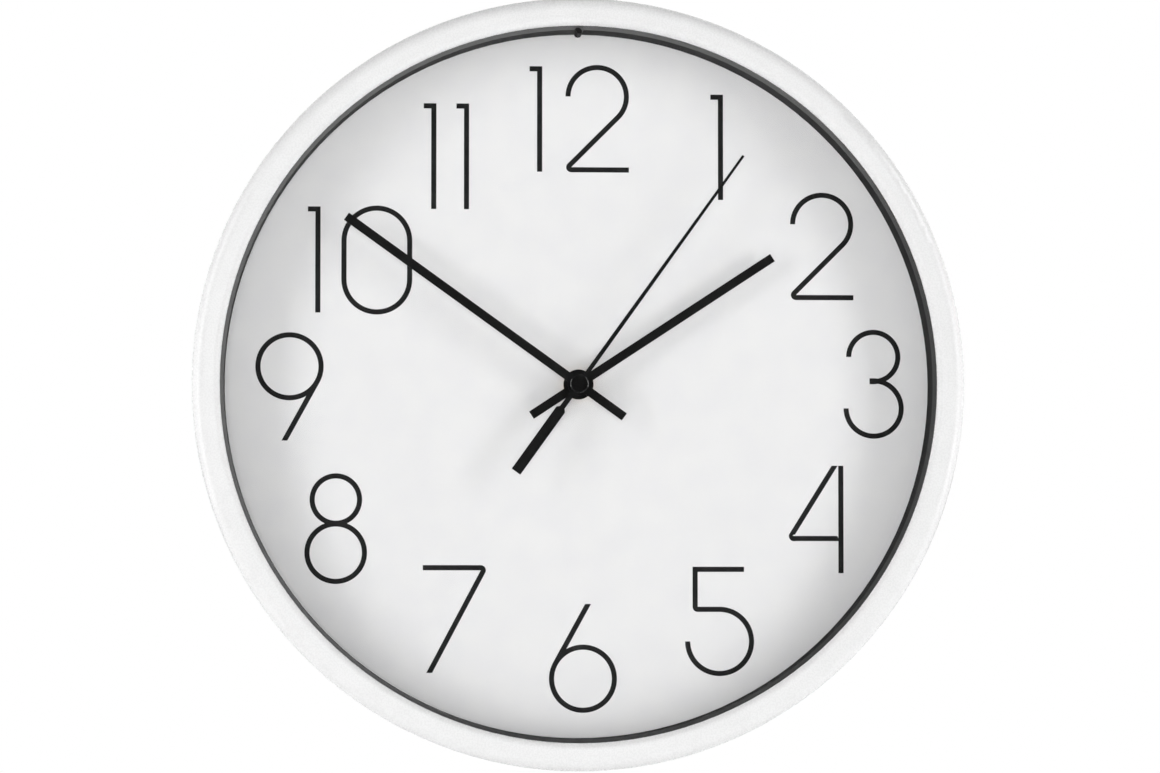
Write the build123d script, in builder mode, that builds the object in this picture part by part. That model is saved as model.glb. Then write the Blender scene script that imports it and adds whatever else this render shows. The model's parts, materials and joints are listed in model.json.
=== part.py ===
"""Round quartz wall clock: white bezel, deep black spacer ring, dial, three hands and a complete
stepping-motor movement with its gear train.

Millimetres. The origin is on the hands' axis, in the plane of the wall. The dial faces -Y, +Z is up.
A "depth" is a distance in front of the wall, so a depth d lies at y = -d.
"""
import os
from math import acos, cos, pi, radians, sin, tan

from build123d import *

os.makedirs("parts", exist_ok=True)

# ---- Driving dimensions -------------------------------------------------------------------------
# Case
case_radius = 150.0
band_width = 10.85
bezel_wall = 2.4
lip_thickness = 3.2
outer_rounding = 4.6
inner_rounding = 2.5
skirt_draft = 0.8
skirt_gap = 8.0            # wall to the rear edge of the skirt
register_height = 6.0
register_wall = 1.4
boss_radius = 3.0
boss_pilot_depth = 12.0
screw_count = 6
screw_first_angle = 30.0
screw_radius = 1.25
screw_length = 10.0
screw_head_radius = 2.6
screw_head_height = 1.8

# Lens, spacer ring and dial
glass_thickness = 2.0
glass_overlap = 1.65       # how far the lens reaches under the band
glass_chamfer = 0.3
ring_depth = 13.2
ring_lip = 1.35            # front of the ring that shows inside the band
ring_bevel_height = 0.7
ring_bevel_width = 1.45
ring_taper = 0.3
ring_wall = 1.5
ring_flange = 1.4
ring_rib_count = 12
ring_rib_thickness = 1.2
nib_radius = 1.5
nib_reach = 1.4
dial_thickness = 1.2

# Back cover
cover_floor = 2.0
cover_rim = 2.0            # overhang of the floor past the cover's wall
cover_wall = 2.0
flange_thickness = 2.0
rib_count = 12
rib_first_angle = 15.0
rib_height = 5.0
rib_thickness = 1.6
inner_rib_radius = 49.0
outer_rib_radius = 92.0
seat_wall = 1.8
seat_height = 8.0
hanger_width = 26.0
hanger_height = 36.0
hanger_wall = 2.0
hanger_plate = 2.4
hanger_gap = 1.0           # wall to the hanger plate
hanger_inset = 7.0         # cover's wall to the top of the hanger
keyhole_entry_radius = 4.6
keyhole_slot_width = 4.8
keyhole_travel = 12.0
keyhole_entry_height = 10.0

# Movement shells
wall_gap = 1.3             # wall to the rear of the movement
movement_width = 56.0
movement_height = 56.0
movement_depth = 15.5
movement_drop = 4.0        # centre of the movement below the hands' axis
movement_corner = 2.0
movement_cover_corner = 1.2
shell_wall = 1.2
shell_floor = 1.0
shell_cover = 1.2
lip_height = 0.8
lip_wall = 1.0
boss_outer_radius = 1.2
pivot_radius = 0.3
pivot_length = 0.8
pivot_float = 0.3          # axial play of an arbor at each end
neck_radius = 3.95
neck_spare = 1.2           # neck left standing past the nut
rubber_radius = 10.0
rubber_thickness = 0.8
brass_radius = 5.6
brass_thickness = 0.5
nut_width = 9.8
nut_thickness = 2.2

# Fits
running_fit = 0.06         # radial, between turning parts
seat_fit = 0.2             # between parts that locate each other
screw_fit = 0.05
hand_gap = 1.0             # between one tube's end and the next hand
neck_gap = 0.6             # between the neck's end and the hour hand

# Gear train: every meshing pair but the rotor's has its arbors one arbor_spacing apart
arbor_spacing = 9.0
rotor_spacing = 7.0
face_width = 1.0
backlash = 0.06
pressure_angle = 20.0
profile_shift = 0.45
root_depth = 1.25          # in modules
tip_trim = 0.3             # of a pinion, in modules
rotor_leaves, fifth_teeth = 10, 60
fifth_leaves, second_teeth = 12, 60
second_leaves, third_teeth = 8, 60
third_leaves, centre_teeth = 8, 64
cannon_leaves, minute_work_teeth = 15, 45
minute_work_leaves, hour_teeth = 12, 48
setting_leaves = 15
third_angle = 90.0
fifth_angle = 230.0
rotor_angle = 180.0
minute_work_angle = 30.0
setting_angle = 30.0
arbor_radius = 0.5
post_radius = 0.8
hour_layer = 14.4
minute_work_layer = 12.5
centre_layer = 10.8
third_layer = 8.8
second_layer = 6.8
fifth_layer = 4.9
layer_margin = 0.3         # how far a pinion is longer than the wheel it drives, at each end
shoulder_margin = 0.9      # last wheel's face to its arbor's front shoulder
third_rear = 7.3           # rear shoulder of the third arbor
rotor_front = 11.8         # front shoulder of the rotor's arbor
second_shaft_radius = 0.5
second_sleeve_radius = 0.8
minute_tube_radius = 1.6
cannon_tail_radius = 1.3
tail_flange_radius = 1.9
tail_flange = 0.5
hour_tube_radius = 2.5
clutch_radius = 3.8
clutch_thickness = 0.15
clutch_slots = 3

# Stepping motor
magnet_radius = 3.2
magnet_height = 2.6
magnet_gap = 0.5
stator_thickness = 1.0
stator_gap = 0.4           # second wheel to the stator
stator_leg = 5.0
stator_eye = 1.7           # iron left around the rotor hole
coil_inset = 4.4           # room's wall to the coil's axis
coil_bottom = -6.5
coil_length = 20.0
coil_radius = 3.2
core_width = 2.6
core_thickness = 0.8
core_fit = 0.1
bobbin_radius = 2.0
bobbin_flange = 7.6
bobbin_flange_thickness = 1.0
coil_post_radius = 1.9
coil_screw_radius = 0.7
coil_screw_head = 1.4
coil_screw_head_height = 0.9
coil_screw_length = 5.0

# Circuit
board_width = 9.0
board_length = 24.0
board_thickness = 0.8
board_height = 0.9         # movement cover to the board
board_stud_radius = 1.0
board_stud_inset = 1.5
chip_size = 4.6
chip_height = 0.9
chip_bevel = 0.5
crystal_radius = 1.0
crystal_length = 6.2

# Battery
cell_radius = 7.1
cell_bevel = 0.5
nub_radius = 2.75
nub_length = 1.0
cell_gap = 0.3
nub_gap = 1.15             # nub to the room's wall, with the contact in between
contact_thickness = 0.3
contact_width = 8.0
contact_bulge = 1.5
dimple_draft = 20.0
finger_notch = 22.0

# Setting knob
knob_radius = 4.6
knob_thickness = 2.0
knob_flutes = 12
flute_radius = 0.5
knob_sink = 0.4            # knob's face below the movement's rear face
knob_shaft_radius = 1.0
well_gap = 0.6
well_wall = 1.0

# Hands: the reach of the tip, the length of the tail, and where they point (degrees clockwise)
hour_reach, hour_tail, hour_width, hour_angle = 90.9, 21.9, 3.4, 56.7
minute_reach, minute_tail, minute_width, minute_angle = 111.4, 21.8, 3.4, 305.7
second_reach, second_angle = 110.0, 35.7
second_root_width, second_tip_width = 1.75, 1.0
second_neck, second_neck_width = 11.3, 2.1
counterweight_reach, counterweight_width, counterweight_taper = 42.1, 4.1, 1.1
hand_thickness = 0.5
second_thickness = 0.3
hour_disc_radius = 5.85
minute_disc_radius = 4.4
collar_wall = 0.7
hour_collar = 1.2
minute_collar = 1.0
second_collar = 0.6
cap_radius = 3.55
cap_height = 1.1
cap_bevel_height = 0.2
cap_bevel_slope = 60.0      # degrees off the hands' axis

# ---- Places worked out from them ----------------------------------------------------------------
movement_front = wall_gap + movement_depth
floor_back = movement_front + rubber_thickness
floor_front = floor_back + cover_floor
dial_front = floor_front + dial_thickness
ring_front = dial_front + ring_depth
glass_front = ring_front + glass_thickness
bezel_front = glass_front + lip_thickness

aperture_radius = case_radius - band_width
glass_radius = aperture_radius + glass_overlap
register_radius = glass_radius + seat_fit
ring_outer = glass_radius
ring_inner_front = aperture_radius - ring_lip
ring_inner_rear = ring_inner_front - ring_taper
dial_radius = ring_outer
floor_radius = dial_radius
cover_outer = floor_radius - cover_rim
cover_inner = cover_outer - cover_wall
skirt_inner_rear = case_radius - skirt_draft - bezel_wall
flange_radius = skirt_inner_rear - seat_fit
flange_front = skirt_gap + flange_thickness
boss_circle = case_radius - skirt_draft - bezel_wall - boss_radius + seat_fit
nib_centre = ring_inner_front + nib_radius - nib_reach

inside_front = movement_front - shell_floor
inside_rear = wall_gap + shell_cover
neck_front = (dial_front + brass_thickness + nut_thickness) + neck_spare
neck_bore = hour_tube_radius + running_fit
hour_hand_depth = neck_front + neck_gap
hour_tube_front = hour_hand_depth + hand_thickness + hour_collar
minute_hand_depth = hour_tube_front + hand_gap
minute_tube_front = minute_hand_depth + hand_thickness + minute_collar
second_hand_depth = minute_tube_front + hand_gap
second_shaft_front = second_hand_depth + second_thickness


def polar(radius, angle, start=(0.0, 0.0)):
    """A point in the clock's own plane, at an angle counter-clockwise from +X."""
    return (start[0] + radius * cos(radians(angle)), start[1] + radius * sin(radians(angle)))


centre_axis = (0.0, 0.0)
third_axis = polar(arbor_spacing, third_angle)
fifth_axis = polar(arbor_spacing, fifth_angle)
rotor_axis = polar(rotor_spacing, rotor_angle, fifth_axis)
minute_work_axis = polar(arbor_spacing, minute_work_angle)
setting_axis = polar(arbor_spacing, setting_angle, minute_work_axis)


def front_plane(depth, place=(0.0, 0.0)):
    """A plane parallel to the wall at a depth: its x is +X, its y is +Z, and it faces the viewer."""
    return Plane(origin=(place[0], -depth, place[1]), x_dir=(1, 0, 0), z_dir=(0, -1, 0))


def hand_plane(depth, clock_angle):
    """A plane parallel to the wall whose x runs along a hand that points at clock_angle."""
    direction = (sin(radians(clock_angle)), 0, cos(radians(clock_angle)))
    return Plane(origin=(0, -depth, 0), x_dir=direction, z_dir=(0, -1, 0))


# Radius against depth, for shapes turned about the hands' axis
section_plane = Plane(origin=(0, 0, 0), x_dir=(1, 0, 0), z_dir=(0, 0, -1))


def disc(radius, depth, thickness, place=(0.0, 0.0), mode=Mode.ADD):
    """A round plate or pin, from depth to depth + thickness."""
    with BuildSketch(front_plane(depth, place)) as round_face:
        Circle(radius)
    extrude(round_face.sketch, amount=thickness, mode=mode)


def write(piece, name):
    piece.part.label = name
    export_step(piece.part, f"parts/{name}.step")


# ---- Bezel: a moulded ring with a rounded band, a drafted skirt and screw bosses ------------------
with BuildPart() as bezel:
    with BuildSketch(section_plane) as bezel_section:
        with BuildLine():
            Polyline(
                (case_radius - skirt_draft, skirt_gap),
                (case_radius, bezel_front - 2 * outer_rounding),
                (case_radius, bezel_front),
                (aperture_radius, bezel_front),
                (aperture_radius, glass_front),
                (register_radius, glass_front),
                (register_radius, glass_front - register_height),
                (register_radius + register_wall, glass_front - register_height),
                (register_radius + register_wall, glass_front),
                (case_radius - bezel_wall, glass_front),
                (skirt_inner_rear, skirt_gap),
                close=True,
            )
        make_face()
        band_corners = bezel_section.vertices().group_by(Axis.Y)[-1].sort_by(Axis.X)
        fillet(band_corners[-1], outer_rounding)
        band_corners = bezel_section.vertices().filter_by_position(
            Axis.X, aperture_radius - 0.1, aperture_radius + 0.1
        )
        fillet(band_corners.sort_by(Axis.Y)[-1], inner_rounding)
    revolve(axis=Axis.Y)
    with BuildSketch(front_plane(flange_front)):
        with PolarLocations(boss_circle, screw_count, start_angle=screw_first_angle):
            Circle(boss_radius)
    extrude(amount=glass_front - flange_front)
    with BuildSketch(front_plane(flange_front)):
        with PolarLocations(boss_circle, screw_count, start_angle=screw_first_angle):
            Circle(screw_radius + screw_fit)
    extrude(amount=boss_pilot_depth, mode=Mode.SUBTRACT)
write(bezel, "bezel")

# ---- Lens ---------------------------------------------------------------------------------------
with BuildPart() as glass_lens:
    disc(glass_radius, ring_front, glass_thickness)
    chamfer(glass_lens.edges().filter_by(GeomType.CIRCLE), glass_chamfer)
write(glass_lens, "glass_lens")

# ---- Spacer ring: a channel section with stiffening ribs and a locating nib at 12 o'clock ---------
with BuildPart() as spacer_ring:
    with BuildSketch(section_plane):
        with BuildLine():
            Polyline(
                (ring_inner_rear, dial_front),
                (ring_inner_front, ring_front - ring_bevel_height),
                (ring_inner_front + ring_bevel_width, ring_front),
                (ring_outer, ring_front),
                (ring_outer, ring_front - ring_flange),
                (ring_inner_front + ring_wall, ring_front - ring_flange),
                (ring_inner_rear + ring_wall, dial_front + ring_flange),
                (ring_outer, dial_front + ring_flange),
                (ring_outer, dial_front),
                close=True,
            )
        make_face()
    revolve(axis=Axis.Y)
    rib_reach = ring_outer - (ring_inner_front + ring_wall / 2)
    with BuildSketch(front_plane(dial_front + ring_flange)):
        with PolarLocations(ring_outer - rib_reach / 2, ring_rib_count):
            Rectangle(rib_reach, ring_rib_thickness)
    extrude(amount=ring_depth - 2 * ring_flange)
    disc(nib_radius, floor_front, ring_depth + dial_thickness, (0, nib_centre))
write(spacer_ring, "spacer_ring")

# ---- Dial: a plain disc, keyed by the nib of the ring ---------------------------------------------
with BuildPart() as dial:
    with BuildSketch(front_plane(floor_front)):
        Circle(dial_radius)
        Circle(neck_radius + seat_fit, mode=Mode.SUBTRACT)
        with Locations((0, nib_centre)):
            Circle(nib_radius + running_fit, mode=Mode.SUBTRACT)
    extrude(amount=dial_thickness)
write(dial, "dial")

# ---- Back cover: dial floor, foot ring on the wall, screw flange, ribs, movement seat and hanger --
rib_end = cover_inner + cover_wall / 2
hanger_top = cover_inner - hanger_inset
hanger_centre = (0.0, hanger_top - hanger_height / 2)
keyhole_entry = (0.0, hanger_top - hanger_height + keyhole_entry_height)
keyhole_top = keyhole_entry[1] + keyhole_travel
with BuildPart() as back_cover:
    with BuildSketch(section_plane):
        with BuildLine():
            Polyline(
                (neck_radius + seat_fit, floor_back),
                (neck_radius + seat_fit, floor_front),
                (floor_radius, floor_front),
                (floor_radius, floor_back),
                (cover_outer, floor_back),
                (cover_outer, flange_front),
                (flange_radius, flange_front),
                (flange_radius, skirt_gap),
                (cover_outer, skirt_gap),
                (cover_outer, 0),
                (cover_inner, 0),
                (cover_inner, floor_back),
                close=True,
            )
        make_face()
    revolve(axis=Axis.Y)
    with BuildSketch(front_plane(skirt_gap)):
        with PolarLocations(boss_circle, screw_count, start_angle=screw_first_angle):
            Circle(screw_radius + seat_fit)
    extrude(amount=flange_thickness, mode=Mode.SUBTRACT)
    with BuildSketch(front_plane(floor_back - rib_height)):
        for rib_radius in (outer_rib_radius, inner_rib_radius):
            Circle(rib_radius + rib_thickness / 2)
            Circle(rib_radius - rib_thickness / 2, mode=Mode.SUBTRACT)
        with PolarLocations((inner_rib_radius + rib_end) / 2, rib_count, start_angle=rib_first_angle):
            Rectangle(rib_end - inner_rib_radius, rib_thickness)
    extrude(amount=rib_height)
    seat_width = movement_width + 2 * seat_fit
    seat_length = movement_height + 2 * seat_fit
    with BuildSketch(front_plane(floor_back - seat_height, (0, -movement_drop))):
        RectangleRounded(
            seat_width + 2 * seat_wall, seat_length + 2 * seat_wall, movement_corner + seat_wall
        )
        RectangleRounded(seat_width, seat_length, movement_corner, mode=Mode.SUBTRACT)
    extrude(amount=seat_height)
    with BuildSketch(front_plane(hanger_gap, hanger_centre)):
        RectangleRounded(hanger_width, hanger_height, 2 * hanger_wall)
    extrude(amount=floor_back - hanger_gap)
    with BuildSketch(front_plane(hanger_gap + hanger_plate, hanger_centre)):
        RectangleRounded(hanger_width - 2 * hanger_wall, hanger_height - 2 * hanger_wall, hanger_wall)
    extrude(amount=floor_back - hanger_gap - hanger_plate, mode=Mode.SUBTRACT)
    with BuildSketch(front_plane(hanger_gap)):
        with Locations(keyhole_entry):
            Circle(keyhole_entry_radius)
        with Locations((0, (keyhole_entry[1] + keyhole_top) / 2)):
            Rectangle(keyhole_slot_width, keyhole_travel)
        with Locations((0, keyhole_top)):
            Circle(keyhole_slot_width / 2)
    extrude(amount=hanger_plate, mode=Mode.SUBTRACT)
write(back_cover, "back_cover")

# ---- Case screws ----------------------------------------------------------------------------------
with BuildPart() as case_screws:
    with BuildSketch(front_plane(skirt_gap - screw_head_height)):
        with PolarLocations(boss_circle, screw_count, start_angle=screw_first_angle):
            Circle(screw_head_radius)
    extrude(amount=screw_head_height)
    with BuildSketch(front_plane(skirt_gap)):
        with PolarLocations(boss_circle, screw_count, start_angle=screw_first_angle):
            Circle(screw_radius)
    extrude(amount=screw_length)
write(case_screws, "case_screws")

# ---- Movement base: tray with gear room, battery bay and threaded neck ----------------------------
movement_centre = (0.0, -movement_drop)
room_half_width = movement_width / 2 - shell_wall
coil_x = -room_half_width + coil_inset
room_top = movement_height / 2 - movement_drop - shell_wall
bay_bottom = -movement_height / 2 - movement_drop + shell_wall
bay_top = bay_bottom + 2 * (cell_radius + cell_gap)
room_bottom = bay_top + shell_wall
cell_axis_z = (bay_bottom + bay_top) / 2
cell_depth = inside_front - cell_gap - cell_radius

# Pivot bosses: place, the depth of the arbor's front shoulder and of its rear shoulder
arbor_front = centre_layer + face_width + shoulder_margin
third_shoulders = (third_rear, arbor_front)
fifth_shoulders = (fifth_layer - 2 * layer_margin, arbor_front)
rotor_shoulders = (fifth_layer - 2 * layer_margin, rotor_front)


def pivot_bosses(places, end):
    """Blind bearing bosses that stand on the shell's floor and reach the arbors' shoulders."""
    for place, shoulders in places:
        if end == "front":
            start = shoulders[1] + pivot_float
            disc(boss_outer_radius, start, inside_front + shell_floor / 2 - start, place)
            disc(pivot_radius + running_fit, start, pivot_length + pivot_float, place, Mode.SUBTRACT)
        else:
            start = shoulders[0] - pivot_float
            foot = inside_rear - shell_cover / 2
            disc(boss_outer_radius, foot, start - foot, place)
            hole = pivot_length + pivot_float
            disc(pivot_radius + running_fit, start - hole, hole, place, Mode.SUBTRACT)


coil_top = coil_bottom + coil_length
stator_back = second_layer + face_width + stator_gap
stator_front = stator_back + stator_thickness
core_front = stator_front + core_thickness
coil_ends = [
    (coil_x, coil_bottom - bobbin_flange_thickness - stator_leg / 2),
    (coil_x, coil_top + bobbin_flange_thickness + stator_leg / 2),
]
arbor_places = [(third_axis, third_shoulders), (fifth_axis, fifth_shoulders), (rotor_axis, rotor_shoulders)]
setting_shoulder = minute_work_layer + face_width + layer_margin
contact_slot = contact_thickness + 2 * cell_gap
contact_depth = wall_gap + shell_cover + board_height

with BuildPart() as movement_base:
    with BuildSketch(front_plane(wall_gap, movement_centre)):
        RectangleRounded(movement_width, movement_height, movement_corner)
    extrude(amount=movement_depth)
    with BuildSketch(front_plane(wall_gap, (0, (room_bottom + room_top) / 2))):
        Rectangle(2 * room_half_width, room_top - room_bottom)
    extrude(amount=inside_front - wall_gap, mode=Mode.SUBTRACT)
    with BuildSketch(front_plane(wall_gap, (0, cell_axis_z))):
        Rectangle(2 * room_half_width, bay_top - bay_bottom)
    extrude(amount=inside_front - wall_gap, mode=Mode.SUBTRACT)
    # The rear cover lies flush on the walls of the gear room
    with BuildSketch(front_plane(wall_gap, (0, (bay_top + room_top + 2 * shell_wall) / 2))):
        Rectangle(2 * movement_width, room_top + 2 * shell_wall - bay_top)
    extrude(amount=shell_cover, mode=Mode.SUBTRACT)
    # Finger notch in the battery bay's lower wall
    with BuildSketch(front_plane(wall_gap, (0, bay_bottom - shell_wall / 2))):
        Rectangle(finger_notch, 2 * shell_wall)
    extrude(amount=movement_depth / 2, mode=Mode.SUBTRACT)
    # Slots in the divider that pass both battery contacts
    for side in (-1, 1):
        slot_x = side * (room_half_width - contact_slot / 2)
        with BuildSketch(front_plane(contact_depth - cell_gap, (slot_x, (bay_top + room_bottom) / 2))):
            Rectangle(contact_slot, 2 * shell_wall)
        extrude(amount=contact_width + 2 * cell_gap, mode=Mode.SUBTRACT)
    disc(neck_radius, inside_front, neck_front - inside_front)
    disc(neck_bore, inside_front, neck_front - inside_front, mode=Mode.SUBTRACT)
    pivot_bosses(arbor_places, "front")
    disc(boss_outer_radius * 1.5, setting_shoulder, inside_front - setting_shoulder, setting_axis)
    disc(knob_shaft_radius + running_fit, setting_shoulder, pivot_length, setting_axis, Mode.SUBTRACT)
    disc(post_radius, minute_work_layer - layer_margin, inside_front - minute_work_layer + layer_margin,
         minute_work_axis)
    for place in coil_ends:
        disc(coil_post_radius, core_front, inside_front - core_front, place)
        disc(coil_screw_radius + screw_fit, core_front, coil_screw_length, place, Mode.SUBTRACT)
write(movement_base, "movement_base")

# ---- Movement cover: flush rear plate with locating lip, pivot bosses and the well of the knob ----
knob_rear = wall_gap + knob_sink
knob_front = knob_rear + knob_thickness
well_radius = knob_radius + well_gap
well_front = knob_front + well_gap / 2 + well_wall
cover_bottom = bay_top
cover_top = room_top + shell_wall
board_rear = inside_rear + board_height
board_centre = (-room_half_width + contact_slot + board_width / 2 - cell_gap, coil_bottom + coil_length / 2)
with BuildPart() as movement_cover:
    with BuildSketch(front_plane(wall_gap, (0, (cover_bottom + cover_top) / 2))):
        Rectangle(movement_width, cover_top - cover_bottom)
    extrude(amount=shell_cover)
    chamfer(movement_cover.edges().filter_by(Axis.Y).group_by(Axis.Z)[-1], movement_cover_corner)
    with BuildSketch(front_plane(inside_rear, (0, (room_bottom + room_top) / 2))):
        lip_length = 2 * (room_half_width - seat_fit / 2)
        lip_rise = room_top - room_bottom - seat_fit
        Rectangle(lip_length, lip_rise)
        Rectangle(lip_length - 2 * lip_wall, lip_rise - 2 * lip_wall, mode=Mode.SUBTRACT)
    extrude(amount=lip_height)
    disc(well_radius + well_wall, inside_rear - shell_cover / 2, well_front - inside_rear + shell_cover / 2,
         setting_axis)
    disc(well_radius, wall_gap, well_front - well_wall - wall_gap, setting_axis, Mode.SUBTRACT)
    disc(knob_shaft_radius + running_fit, wall_gap, well_front - wall_gap, setting_axis, Mode.SUBTRACT)
    second_shoulder = second_layer - 2 * layer_margin
    pivot_bosses(arbor_places + [(centre_axis, (second_shoulder, 0))], "rear")
    for corner_x in (-1, 1):
        for corner_z in (-1, 1):
            stud = (
                board_centre[0] + corner_x * (board_width / 2 - board_stud_inset),
                board_centre[1] + corner_z * (board_length / 2 - board_stud_inset),
            )
            disc(board_stud_radius, inside_rear - shell_cover / 2, board_height + shell_cover / 2, stud)
write(movement_cover, "movement_cover")

# ---- Washers and nut on the neck ------------------------------------------------------------------
with BuildPart() as rubber_washer:
    disc(rubber_radius, movement_front, rubber_thickness)
    disc(neck_radius + running_fit, movement_front, rubber_thickness, mode=Mode.SUBTRACT)
write(rubber_washer, "rubber_washer")

with BuildPart() as dial_washer:
    disc(brass_radius, dial_front, brass_thickness)
    disc(neck_radius + running_fit, dial_front, brass_thickness, mode=Mode.SUBTRACT)
write(dial_washer, "dial_washer")

with BuildPart() as mounting_nut:
    with BuildSketch(front_plane(dial_front + brass_thickness)):
        RegularPolygon(nut_width / 2, 6, major_radius=False)
        Circle(neck_radius + running_fit / 2, mode=Mode.SUBTRACT)
    extrude(amount=nut_thickness)
write(mounting_nut, "mounting_nut")


# ---- Gear train -----------------------------------------------------------------------------------
def involute(angle):
    return tan(angle) - angle


def tooth_outline(teeth, module, shift, phase, flank_points):
    """The outline of a spur gear, tooth by tooth, with a tooth centred on the phase angle.

    Each flank follows the involute from the base circle to the tip; below the base circle it is
    radial. flank_points is how many points a flank has."""
    pitch_radius = module * teeth / 2
    base_radius = pitch_radius * cos(radians(pressure_angle))
    root_radius = pitch_radius - (root_depth - shift) * module
    tip_radius = pitch_radius + (1.0 + shift - (tip_trim if shift > 0 else 0)) * module
    half_tooth = (pi / 2 + 2 * shift * tan(radians(pressure_angle))) / teeth
    half_tooth -= backlash / 4 / pitch_radius
    pitch_involute = involute(radians(pressure_angle))
    flank = []
    for step in range(flank_points):
        radius = root_radius + (tip_radius - root_radius) * step / (flank_points - 1)
        lean = acos(base_radius / max(radius, base_radius))
        flank.append((radius, half_tooth + pitch_involute - involute(lean)))
    outline = []
    for tooth in range(teeth):
        middle = radians(phase) + 2 * pi * tooth / teeth
        for radius, half in flank:
            outline.append((radius * cos(middle - half), radius * sin(middle - half)))
        for radius, half in reversed(flank):
            outline.append((radius * cos(middle + half), radius * sin(middle + half)))
    return outline


def mating_phase(phase, teeth, direction, mate_teeth):
    """The phase of a gear whose gaps take the teeth of a mate that lies behind it in direction."""
    past_tooth = ((direction - phase) * teeth / 360.0) % 1.0
    return direction + 180.0 + (past_tooth - 0.5) * 360.0 / mate_teeth


def toothed_disc(teeth, module, shift, phase, depth, thickness, place, flank_points=2):
    with BuildSketch(front_plane(depth, place)) as gear_face:
        with BuildLine():
            Polyline(*tooth_outline(teeth, module, shift, phase, flank_points), close=True)
        make_face()
    extrude(gear_face.sketch, amount=thickness)


def wheel(teeth, mate_leaves, phase, depth, place, spacing=arbor_spacing):
    module = 2 * spacing / (teeth + mate_leaves)
    toothed_disc(teeth, module, -profile_shift, phase, depth, face_width, place)


def pinion(leaves, mate_teeth, phase, depth, place, spacing=arbor_spacing):
    module = 2 * spacing / (leaves + mate_teeth)
    start = depth - layer_margin
    toothed_disc(leaves, module, profile_shift, phase, start, face_width + 2 * layer_margin, place, 3)


def arbor(shoulders, place, radius=arbor_radius):
    """A wheel's shaft between its shoulders, with a thinner pivot at each end."""
    disc(radius, shoulders[0], shoulders[1] - shoulders[0], place)
    disc(pivot_radius, shoulders[0] - pivot_length, shoulders[1] - shoulders[0] + 2 * pivot_length, place)


# Each pair meshes with a pinion leaf on the line of centres and a gap of the wheel facing it.
third_wheel_phase = mating_phase(third_angle, second_leaves, third_angle, third_teeth)
centre_wheel_phase = mating_phase(third_angle + 180, third_leaves, third_angle + 180, centre_teeth)
second_wheel_phase = mating_phase(fifth_angle + 180, fifth_leaves, fifth_angle + 180, second_teeth)
fifth_wheel_phase = mating_phase(rotor_angle + 180, rotor_leaves, rotor_angle + 180, fifth_teeth)
hour_wheel_phase = mating_phase(
    minute_work_angle + 180, minute_work_leaves, minute_work_angle + 180, hour_teeth
)
minute_work_phase = mating_phase(minute_work_angle, cannon_leaves, minute_work_angle, minute_work_teeth)
setting_phase = mating_phase(minute_work_phase, minute_work_teeth, setting_angle, setting_leaves)

with BuildPart() as hour_wheel:
    wheel(hour_teeth, minute_work_leaves, hour_wheel_phase, hour_layer, centre_axis)
    disc(hour_tube_radius, hour_layer, hour_tube_front - hour_layer)
    disc(minute_tube_radius + running_fit, hour_layer, hour_tube_front - hour_layer, mode=Mode.SUBTRACT)
write(hour_wheel, "hour_wheel")

with BuildPart() as minute_work_wheel:
    wheel(minute_work_teeth, cannon_leaves, minute_work_phase, minute_work_layer, minute_work_axis)
    work_start = minute_work_layer + face_width
    work_length = hour_layer + face_width - work_start
    toothed_disc(
        minute_work_leaves, 2 * arbor_spacing / (minute_work_leaves + hour_teeth), profile_shift,
        minute_work_angle + 180, work_start, work_length, minute_work_axis, 3,
    )
    disc(post_radius + running_fit, minute_work_layer, work_length + face_width, minute_work_axis,
         Mode.SUBTRACT)
write(minute_work_wheel, "minute_work_wheel")

cannon_rear = minute_work_layer - layer_margin
tail_rear = centre_layer - tail_flange
with BuildPart() as cannon_pinion:
    pinion(cannon_leaves, minute_work_teeth, minute_work_angle, minute_work_layer, centre_axis)
    disc(minute_tube_radius, cannon_rear, minute_tube_front - cannon_rear)
    disc(cannon_tail_radius, tail_rear, cannon_rear - tail_rear)
    disc(tail_flange_radius, tail_rear, tail_flange)
    disc(second_shaft_radius + running_fit, tail_rear, minute_tube_front - tail_rear, mode=Mode.SUBTRACT)
write(cannon_pinion, "cannon_pinion")

# The clutch is a slotted conical washer, held between the centre wheel and the cannon pinion
clutch_rear = centre_layer + face_width
with BuildPart() as clutch_spring:
    with BuildSketch(section_plane):
        with BuildLine():
            Polyline(
                (clutch_radius, clutch_rear),
                (clutch_radius, clutch_rear + clutch_thickness),
                (cannon_tail_radius + running_fit, cannon_rear),
                (cannon_tail_radius + running_fit, cannon_rear - clutch_thickness),
                close=True,
            )
        make_face()
    revolve(axis=Axis.Y)
    with BuildSketch(front_plane(clutch_rear)):
        with PolarLocations(clutch_radius, clutch_slots):
            Rectangle(clutch_radius, clutch_radius / 3)
    extrude(amount=cannon_rear - clutch_rear, mode=Mode.SUBTRACT)
write(clutch_spring, "clutch_spring")

with BuildPart() as centre_wheel:
    wheel(centre_teeth, third_leaves, centre_wheel_phase, centre_layer, centre_axis)
    disc(cannon_tail_radius + running_fit, centre_layer, face_width, mode=Mode.SUBTRACT)
write(centre_wheel, "centre_wheel")

with BuildPart() as third_wheel:
    wheel(third_teeth, second_leaves, third_wheel_phase, third_layer, third_axis)
    arbor(third_shoulders, third_axis)
    pinion(third_leaves, centre_teeth, third_angle + 180, centre_layer, third_axis)
write(third_wheel, "third_wheel")

with BuildPart() as second_wheel:
    wheel(second_teeth, fifth_leaves, second_wheel_phase, second_layer, centre_axis)
    pinion(second_leaves, third_teeth, third_angle, third_layer, centre_axis)
    disc(second_sleeve_radius, second_layer, third_layer - second_layer)
    disc(second_shaft_radius, second_layer, 2 * third_layer - second_layer, mode=Mode.SUBTRACT)
write(second_wheel, "second_wheel")

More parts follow.
